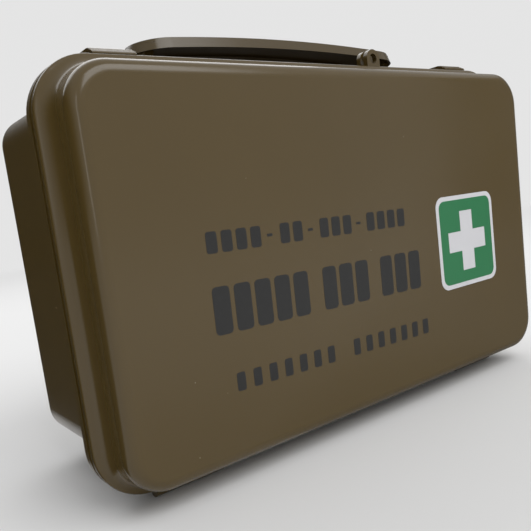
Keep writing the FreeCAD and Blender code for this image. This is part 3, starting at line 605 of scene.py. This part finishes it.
def make_case():
    plastic = moulded_plastic("OlivePlastic", OLIVE, 0.2)
    for node in ("base_case", "lid", "latch_left", "latch_right"):
        give(node, plastic)
    # painted shade: the handle gets a darker copy of the case's plastic, painted darker again on
    # faces that look down
    give("carry_handle", moulded_plastic("GripPlastic", scaled(OLIVE, 0.8), 0.2,
                                         matt_and_shaded_below=True))
    steel = brushed_steel("PinSteel", (0.42, 0.41, 0.39), 0.36, (0.2, 1.0, 1.0))
    for side in ("left", "right"):
        for pin in ("hinge_pin_", "latch_pin_", "handle_pin_"):
            give(pin + side, steel)
    give("gasket", rubber("SealRubber"))
    give("emblem_label", film("WhiteFilm", WHITE_FILM))
    make_panel_print(printed("PanelInk", INK))
    make_emblem(film("GreenFilm", SIGN_GREEN))


# ---------------------------------------------------------------- contents: materials

def laminate(name):
    """Olive cloth laminate of a dressing's wrapper: plain weave under a waxy coat."""
    finish = Finish(name, (0.060, 0.062, 0.026), 0.5)
    finish.mottle((0.085, 0.086, 0.042), 45.0, 4.0, 0.45, 0.75, 0.5)
    finish.mottle((0.03, 0.032, 0.014), 160.0, 3.0, 0.62, 0.8, 0.5)
    across, up = finish.wave(620.0, "X"), finish.wave(620.0, "Z")
    weave = finish.maths("MULTIPLY", finish.maths("ADD", across, 0.3),
                         finish.maths("ADD", up, 0.3))
    finish.emboss(weave, 0.05 * MM, 0.5)
    finish.emboss(finish.noise(110.0, 5.0, distortion=0.8), 0.5 * MM, 0.35)
    return finish.done(Coat_Weight=0.15, Coat_Roughness=0.3)


def muslin(name):
    """Unbleached cotton: an open plain weave with slubs."""
    finish = Finish(name, (0.60, 0.54, 0.41), 0.88)
    for direction, stretch in (("X", (1, 0.12, 0.12)), ("Y", (0.12, 1, 0.12)),
                               ("Z", (0.12, 0.12, 1))):
        slub = finish.noise(420.0, 3.0, finish.stretched(stretch))
        finish.tint(finish.spread(slub, 0.6, 0.75, to_high=0.35), (0.42, 0.37, 0.27))
        finish.emboss(finish.wave(560.0, direction), 0.06 * MM, 0.35)
    finish.mottle((0.70, 0.65, 0.52), 30.0, 3.0, 0.5, 0.8, 0.3)
    return finish.done(Sheen_Weight=0.25)


def gauze_cloth(name):
    """Bleached open-weave gauze."""
    finish = Finish(name, (0.80, 0.80, 0.77), 0.9)
    across, around = finish.wave(330.0, "X", 1.2), finish.wave(330.0, "Y", 1.2)
    holes = finish.maths("MULTIPLY", across, around)
    finish.tint(finish.spread(holes, 0.35, 0.8, to_high=0.45), (0.50, 0.50, 0.47))
    finish.mottle((0.88, 0.87, 0.82), 60.0, 3.0, 0.5, 0.8, 0.3)
    finish.emboss(holes, 0.15 * MM, 0.5)
    finish.emboss(finish.noise(500.0, 3.0), 0.1 * MM, 0.4)
    return finish.done(Sheen_Weight=0.3)


def paper(name, colour):
    """Uncoated wrapping paper: soft fibres and a few creases."""
    finish = Finish(name, colour, 0.7)
    finish.mottle(scaled(colour, 0.86), 90.0, 4.0, 0.45, 0.75, 0.35)
    finish.emboss(finish.noise(900.0, 4.0), 0.03 * MM, 0.4)
    finish.emboss(finish.noise(55.0, 3.0, distortion=1.2), 0.5 * MM, 0.3)
    return finish.done()


def foil(name):
    """Metallised film, crumpled into small facets."""
    finish = Finish(name, (0.70, 0.71, 0.73), 0.2, metallic=1.0)
    facets = finish.cells(130.0, finish.stretched((1, 1, 1), (0.3, 0.5, 0.2)))
    finish.emboss(facets.outputs["Distance"], 0.9 * MM, 0.6)
    finish.emboss(finish.noise(60.0, 4.0, distortion=1.5), 1.0 * MM, 0.5)
    finish.rub(200.0, 3.0, 0.4, 0.7, 0.0, 0.12)
    finish.mottle((0.52, 0.54, 0.58), 25.0, 2.0, 0.5, 0.8, 0.4)
    return finish.done(Coat_Weight=0.5, Coat_Roughness=0.08)


def board(name, colour):
    """Coated carton board or card: smooth, with a little grain and rubbed patches."""
    finish = Finish(name, colour, 0.42)
    finish.mottle(scaled(colour, 0.82), 120.0, 4.0, 0.55, 0.8, 0.25)
    finish.rub(70.0, 3.0, 0.4, 0.7, -0.05, 0.12)
    finish.emboss(finish.noise(700.0, 3.0), 0.02 * MM, 0.3)
    return finish.done()


def soft_plastic(name, colour, roughness, milky=0.0):
    """Blown or moulded polythene: a waxy surface that lets a little light through."""
    finish = Finish(name, colour, roughness)
    finish.mottle(scaled(colour, 0.88), 70.0, 3.0, 0.5, 0.8, 0.3)
    finish.rub(240.0, 3.0, 0.4, 0.7, -0.04, 0.06)
    finish.emboss(finish.noise(350.0, 2.0), 0.02 * MM, 0.3)
    return finish.done(Subsurface_Weight=milky, Subsurface_Scale=0.002)


def wound_tape(name, centre):
    """Cotton tape wound on its spool: a woven face, and fine rings on its edges."""
    finish = Finish(name, (0.72, 0.62, 0.52), 0.75)
    rings = finish.rings(750.0, centre, 0.6)
    finish.tint(finish.spread(rings, 0.3, 0.8, to_high=0.35), (0.50, 0.42, 0.34))
    finish.emboss(rings, 0.05 * MM, 0.5)
    finish.emboss(finish.wave(500.0, "Y"), 0.04 * MM, 0.4)
    finish.mottle((0.80, 0.72, 0.62), 80.0, 3.0, 0.5, 0.8, 0.3)
    return finish.done()


# ---------------------------------------------------------------- contents: soft packs

class Pack:
    """A soft pack in the space of one CAD node.

    Its own directions are across, through its thickness, and along to its end seams;
    axes says which of X, Y and Z (0, 1 and 2) each of them is.
    """

    CELL = 3.6 * MM             # size of a quad of the cloth that swells
    ROOM = 0.35 * MM            # clearance left all round in the node's space
    FOLD_DEPTH = 1.5 * MM
    SEAM_OVERLAP = 1.25         # length of a seam's strip, part of it inside the pack

    def __init__(self, node, axes, seams, pinch, crease, seed):
        self.node, self.axes, self.seams = node, axes, seams
        self.low, self.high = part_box(node)
        self.middle = (self.low + self.high) / 2
        size = self.high - self.low
        self.half = [size[axis] / 2 for axis in axes]
        self.pinch, self.crease = pinch, crease
        self.shift = Vector((seed * 3.7, seed * 1.3, seed * 2.1))

    def place(self, across, through, along):
        point = self.middle.copy()
        for axis, distance in zip(self.axes, (across, through, along)):
            point[axis] += distance
        return point

    def start(self):
        """The slack pack before it swells, a little smaller than its space."""
        cells = [max(4, round(2 * half / self.CELL)) for half in self.half]
        half_across, half_through = self.half[0] - 1.5 * MM, self.half[1] - 2.0 * MM
        half_along = self.half[2] - self.seams
        shape = block_grid(cells)
        for vert in shape.verts:
            u, v, w = vert.co
            ends = (1 - abs(w) ** 5) ** 0.5 if self.pinch else 1 - 0.25 * abs(w) ** 8
            thin = (0.04 + 0.96 * ends) * (1 - 0.30 * abs(u) ** 8)
            narrow = 1 - 0.07 * abs(w) ** 4 - 0.05 * v * v
            vert.co = self.place(u * half_across * narrow, v * half_through * thin,
                                 w * half_along * (1 - 0.03 * u * u))
        mesh = finished(shape, self.node + "_slack")
        self.slack = bpy.data.objects.new(self.node + "_slack", mesh)
        bpy.context.scene.collection.objects.link(self.slack)
        self.before = [vert.co.copy() for vert in mesh.vertices]

    def add_seams(self, shape):
        """Two crimped end seams, flat and finely ribbed."""
        half_width = (self.half[0] - 2.0 * MM) * 0.93
        half_thick, rib, bend, ribs = 0.25 * MM, 0.22 * MM, 0.9 * MM, 5
        start = self.half[2] - self.seams * self.SEAM_OVERLAP
        length = self.seams * self.SEAM_OVERLAP - 0.3 * MM
        for end in (-1, 1):
            strip = block_grid((36, 1, 24))
            for vert in strip.verts:
                u, v, w = vert.co
                out = (w + 1) / 2
                ripple = rib * math.sin(out * math.tau * ribs)
                sway = bend * out * noise.noise(Vector((u * 2.2, end, 0)) + self.shift)
                vert.co = self.place(u * half_width, v * half_thick + ripple + sway,
                                     end * (start + out * length))
            mesh = finished(strip, "strip")
            shape.from_mesh(mesh)
            bpy.data.meshes.remove(mesh)

    def crease_surface(self, shape, folds):
        """Push the surface in and out in creases, and in along the lines of its folds."""
        shape.normal_update()
        moves = []
        for vert in shape.verts:
            point = vert.co / MM + self.shift * 10
            broad = noise.noise(Vector((point.x, point.y * 0.6, point.z * 0.35)) / 9.0)
            fine = noise.noise(point / 4.5)
            push = self.crease * (0.75 * (1 - abs(broad) * 2.6) + 0.35 * fine)
            if folds:
                side = 1 - abs(vert.normal[self.axes[1]])
                height = (vert.co[self.axes[1]] - self.low[self.axes[1]]) / (2 * self.half[1])
                wander = 0.12 * noise.noise(point / 30.0)
                crest = abs(math.sin(math.pi * folds * (height + wander)))
                push -= side * self.FOLD_DEPTH * (1 - crest) ** 2
            moves.append(vert.normal * push)
        for vert, move in zip(shape.verts, moves):
            vert.co += move

    def fit(self, shape):
        """Centre the pack in its space, and shrink it where it is too large."""
        reach = (self.half[0], self.half[1], self.half[2] - self.seams)
        for axis, half in zip(self.axes, reach):
            spots = [vert.co[axis] for vert in shape.verts]
            lowest, highest = min(spots), max(spots)
            scale = min(1.0, 2 * (half - self.ROOM) / (highest - lowest))
            for vert in shape.verts:
                vert.co[axis] = (self.middle[axis]
                                 + (vert.co[axis] - (lowest + highest) / 2) * scale)

    def settle(self, points, material, folds):
        """Turn the swollen points into the finished, creased piece inside its space."""
        for vert, point in zip(self.slack.data.vertices, points):
            vert.co = point
        smooth = self.slack.modifiers.new("Smooth", "SUBSURF")
        smooth.levels = smooth.render_levels = 2 if folds else 1
        done = bpy.data.meshes.new_from_object(
            self.slack.evaluated_get(bpy.context.evaluated_depsgraph_get()))
        bpy.data.objects.remove(self.slack)
        shape = bmesh.new()
        shape.from_mesh(done)
        bpy.data.meshes.remove(done)
        turn_outwards(shape)
        self.crease_surface(shape, folds)
        self.fit(shape)
        if self.seams:
            self.add_seams(shape)
        piece = new_piece(self.node + "_pack",
                          finished(shape, self.node + "_pack", smooth=True), material)
        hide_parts(self.node)
        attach(piece, "case")


def swell(packs):
    """Puff all the packs up together as cloth under inner pressure, and keep it small."""
    pressure, last_frame, limit = 4.0, 20, 2.2 * MM
    scene = bpy.context.scene
    for pack in packs:
        cloth = pack.slack.modifiers.new("Swell", "CLOTH")
        cloth.settings.use_pressure = True
        cloth.settings.uniform_pressure_force = pressure
        cloth.settings.effector_weights.gravity = 0.0
        cloth.settings.quality = 5
        cloth.settings.mass = 0.2
        cloth.point_cache.frame_start, cloth.point_cache.frame_end = 1, last_frame
    for step in range(1, last_frame + 1):
        scene.frame_set(step)
    swollen = []
    ready = bpy.context.evaluated_depsgraph_get()
    for pack in packs:
        shown = pack.slack.evaluated_get(ready).data
        points = []
        for vert, old in zip(shown.vertices, pack.before):
            move = vert.co - old
            if move.length > limit:
                move = move.normalized() * limit
            points.append(old + move)
        swollen.append(points)
    for pack in packs:
        pack.slack.modifiers.clear()
    scene.frame_set(1)
    return swollen


def make_packs():
    olive_wrap, cotton = laminate("DressingLaminate"), muslin("PressedMuslin")
    white_wrap, silver = paper("WhitePaper", (0.74, 0.73, 0.70)), foil("SilverFilm")
    plans = [  # node, its axes, end seam and crease in mm, pinched ends, material, folds
        ("dressing_front", (0, 1, 2), 6.0, 0.7, True, olive_wrap, 0),
        ("dressing_back", (0, 1, 2), 6.0, 0.7, True, olive_wrap, 0),
        ("triangular_bandage", (0, 2, 1), 0.0, 0.25, False, cotton, 8),
        ("eye_dressing", (1, 2, 0), 5.0, 0.4, True, white_wrap, 0),
        ("rescue_blanket", (2, 1, 0), 6.0, 0.9, True, silver, 0),
    ]
    packs, finishes = [], []
    for seed, (node, axes, seam, crease, pinch, material, folds) in enumerate(plans, 1):
        packs.append(Pack(node, axes, seam * MM, pinch, crease * MM, seed))
        packs[-1].start()
        finishes.append((material, folds))
    for pack, points, (material, folds) in zip(packs, swell(packs), finishes):
        pack.settle(points, material, folds)
    make_muslin_band(white_wrap)


def make_muslin_band(material):
    """A paper band once round the middle of the folded bandage."""
    low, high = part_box("triangular_bandage")
    middle = (low + high) / 2
    width, thick, inset, corner = 18 * MM, 0.15 * MM, 0.3 * MM, 7 * MM
    outline = rounded_block(middle.y, middle.z, high.y - low.y - inset,
                            high.z - low.z - inset, corner, 8)
    shape = bmesh.new()
    loops = []
    for depth, x in ((0.0, middle.x - width / 2), (0.0, middle.x + width / 2),
                     (thick, middle.x + width / 2), (thick, middle.x - width / 2)):
        loop = []
        for y, z in outline:
            outwards = Vector((0, y - middle.y, z - middle.z)).normalized()
            loop.append(shape.verts.new(Vector((x, y, z)) - outwards * depth))
        loops.append(loop)
    for one, two in zip(loops, loops[1:] + loops[:1]):
        bridge(shape, one, two)
    turn_outwards(shape)
    piece = new_piece("muslin_band", finished(shape, "muslin_band", smooth=True), material)
    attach(piece, "case")


# ---------------------------------------------------------------- contents: rolls and hard things

def make_roll(number, cloth, wrap):
    """A gauze roll: one ribbon wound on itself, held by a paper band."""
    node = "gauze_roll_%d" % number
    low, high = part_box(node)
    middle = (low + high) / 2
    half_width = (high.x - low.x) / 2 - 0.6 * MM
    radius = (high.z - low.z) / 2 - 0.45 * MM
    turns, steps, cells = 7, 40, 14
    core, thick, uneven, worn = 2.4 * MM, 1.25 * MM, 0.12 * MM, 0.5 * MM
    start = number * 1.9
    rng = random.Random(number)
    edge = [rng.uniform(-0.35, 0.35) * MM for _ in range(turns * steps + 1)]
    shape, rings = bmesh.new(), []
    for k in range(turns * steps + 1):
        share = k / (turns * steps)
        centre_line = core + (radius - thick / 2 - core) * share
        centre_line -= uneven * (1 + noise.noise(Vector((k * 0.11, number, 0))))
        angle = start + math.tau * k / steps
        ring = []
        for side in (-1, 1):
            reach = centre_line + side * thick * 0.44
            row = []
            for c in range(cells + 1):
                u = 2 * c / cells - 1
                x = middle.x + u * half_width + edge[k] * abs(u) ** 6
                puff = uneven * noise.noise(Vector((x * 260, k * 0.13, number)))
                bulge = reach - worn * abs(u) ** 8 * share + puff
                row.append(shape.verts.new((x, middle.y + bulge * math.cos(angle),
                                            middle.z + bulge * math.sin(angle))))
            ring.append(row)
        rings.append(ring)
    for one, two in zip(rings, rings[1:]):
        for c in range(cells):
            shape.faces.new((one[0][c], one[0][c + 1], two[0][c + 1], two[0][c]))
            shape.faces.new((one[1][c], two[1][c], two[1][c + 1], one[1][c + 1]))
        for c in (0, cells):
            shape.faces.new((one[0][c], two[0][c], two[1][c], one[1][c]))
    for ring in (rings[0], rings[-1]):
        for c in range(cells):
            shape.faces.new((ring[0][c], ring[1][c], ring[1][c + 1], ring[0][c + 1]))
    turn_outwards(shape)
    piece = new_piece(node + "_wound", finished(shape, node + "_wound", smooth=True), cloth)
    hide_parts(node)
    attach(piece, "case")
    sleeve(node + "_band", middle, 0, radius + 0.02 * MM, radius + 0.16 * MM, -9 * MM,
           9 * MM, wrap)


def make_bottle():
    """Materials of the bottle and its cap, a plain label round it and ribs on the cap."""
    give("antiseptic_bottle", soft_plastic("BottlePlastic", (0.36, 0.15, 0.03), 0.22, 0.1))
    cap_plastic = soft_plastic("CapPlastic", (0.75, 0.75, 0.73), 0.35)
    give("bottle_cap", cap_plastic)
    low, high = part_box("antiseptic_bottle")
    foot = Vector(((low.x + high.x) / 2, (low.y + high.y) / 2, low.z))
    radius = (high.x - low.x) / 2 + LIFT
    sleeve("bottle_label", foot, 2, radius, radius + 0.1 * MM, 9 * MM, 34 * MM,
           board("LabelPaper", (0.76, 0.75, 0.71)))
    sleeve("bottle_label_stripe", foot, 2, radius + 0.11 * MM, radius + 0.15 * MM, 27 * MM,
           32 * MM, board("StripeInk", STRIPE_GREEN))
    make_cap_ribs(cap_plastic)


def make_cap_ribs(material):
    """Grip ribs round the cap, each tapering away at its two ends."""
    ribs = 28
    sunk, proud, half_foot, half_crest = 0.3 * MM, 0.22 * MM, 0.42 * MM, 0.252 * MM
    low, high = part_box("bottle_cap")
    middle, radius = (low + high) / 2, (high.x - low.x) / 2
    levels = ((low.z + 0.6 * MM, 0.6), (low.z + 1.4 * MM, 1.0),
              (high.z - 2.6 * MM, 1.0), (high.z - 1.6 * MM, 0.3))   # height, share of rise
    section = ((-sunk, -half_foot), (proud, -half_crest), (proud, half_crest),
               (-sunk, half_foot))
    shape = bmesh.new()
    for rib in range(ribs):
        angle = math.tau * rib / ribs
        out = Vector((math.cos(angle), math.sin(angle), 0))
        along = Vector((-out.y, out.x, 0))
        loops = [[shape.verts.new(Vector((middle.x, middle.y, z))
                                  + out * (radius + rise * share) + along * side)
                  for rise, side in section] for z, share in levels]
        for one, two in zip(loops, loops[1:]):
            bridge(shape, one, two)
        shape.faces.new(loops[0])
        shape.faces.new(loops[-1])
    turn_outwards(shape)
    piece = new_piece("bottle_cap_ribs", finished(shape, "bottle_cap_ribs"), material)
    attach(piece, "bottle_cap")


def make_carton():
    """A carton of adhesive bandages: rounded board edges, a printed band and pictures."""
    low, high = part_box("bandage_carton")
    room = Vector((1, 1, 1)) * 0.3 * MM
    low, high = low + room, high - room
    middle = (low + high) / 2
    shape = block_grid((1, 1, 1))
    for vert in shape.verts:
        vert.co = Vector([(a + b) / 2 + (b - a) / 2 * c
                          for a, b, c in zip(low, high, vert.co)])
    bmesh.ops.bevel(shape, geom=list(shape.edges), offset=0.7 * MM, segments=3,
                    affect="EDGES", profile=0.5)
    turn_outwards(shape)
    piece = new_piece("bandage_carton_box", finished(shape, "bandage_carton_box"),
                      board("CartonBoard", PLAIN_WHITE))
    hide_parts("bandage_carton")
    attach(piece, "case")

    def on_front(x, y, out):
        return Vector((x, low.y - LIFT - out, y))

    width, height = high.x - low.x, high.z - low.z
    band = [rounded_block(middle.x, low.z + height * 0.30, width - 3 * MM, 8 * MM, 0.4 * MM)]
    strips = []
    for step in (-1, 0, 1):     # a plaster with its pad left open
        across, up = middle.x + step * 16 * MM, low.z + height * 0.68
        strips.append(rounded_block(across, up, 13 * MM, 4.4 * MM, 2.1 * MM))
        strips.append(rounded_block(across, up, 4.2 * MM, 3.4 * MM, 0.4 * MM))
    for name, outlines, colour in (("carton_band", band, STRIPE_GREEN),
                                   ("carton_pictures", strips, (0.55, 0.38, 0.24))):
        mark = new_piece(name, flat_mesh(name, outlines, on_front),
                         board(name + "_ink", colour))
        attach(mark, "case")


def make_card(ink):
    """Plain bars and little picture frames, upright when the lid hangs open."""
    low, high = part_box("instruction_card")
    margin, column_pitch, row_pitch = 9 * MM, 54 * MM, 48 * MM
    frame_width, frame_height, frame_line = 22 * MM, 18 * MM, 1.4 * MM
    bar, bar_corner = 1.5 * MM, 0.5 * MM

    def text_bar(left, middle, length):
        return rounded_block(left + length / 2, middle, length, bar, bar_corner, 3)

    outlines = []
    for column in range(3):
        left = low.x + margin + column * column_pitch
        across = left + frame_width / 2
        for row in range(2):
            top = high.z - margin - row * row_pitch
            up = top - frame_height / 2
            outlines.append(rounded_block(across, up, frame_width, frame_height, 2 * MM))
            outlines.append(rounded_block(across, up, frame_width - frame_line,
                                          frame_height - frame_line, 1.4 * MM))
            outlines.append(cross_outline(across, up, 5 * MM, 1.7 * MM))
            for line in range(4):       # beside the picture
                outlines.append(text_bar(left + 25 * MM, top - (2 + 4.4 * line) * MM,
                                         (22 - 5 * (line % 2)) * MM))
            for line in range(3):       # below it
                outlines.append(text_bar(left, top - (24 + 5 * line) * MM,
                                         (46 - 9 * (line % 2)) * MM))
    mesh = flat_mesh("card_print", outlines,
                     lambda x, y, out: Vector((x, high.y + LIFT + out, low.z + high.z - y)))
    piece = new_piece("card_print", mesh, ink)
    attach(piece, "lid")


def make_contents():
    make_packs()
    cloth, wrap = gauze_cloth("Gauze"), paper("BandPaper", PLAIN_WHITE)
    for number in range(1, 5):
        make_roll(number, cloth, wrap)
    make_carton()
    make_bottle()
    low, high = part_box("adhesive_tape")
    give("adhesive_tape", wound_tape("CottonTape", (low + high) / 2))
    give("tape_spool", soft_plastic("SpoolPlastic", (0.68, 0.67, 0.62), 0.35))
    blades = brushed_steel("ToolSteel", (0.56, 0.56, 0.55), 0.26, (0.3, 1.0, 3.0))
    for node in ("scissors_blade_rear", "scissors_blade_front", "scissors_rivet"):
        give(node, blades)
    give("tweezers", brushed_steel("TweezerSteel", (0.60, 0.60, 0.59), 0.3, (0.2, 2.0, 2.0)))
    give("instruction_card", board("CardStock", (0.72, 0.71, 0.66)))
    make_card(board("CardInk", (0.03, 0.05, 0.045)))


make_camera()
make_world()
make_lights()
make_floor()
make_backdrop()
make_case()
make_contents()
bpy.context.scene.view_settings.view_transform = "Standard"
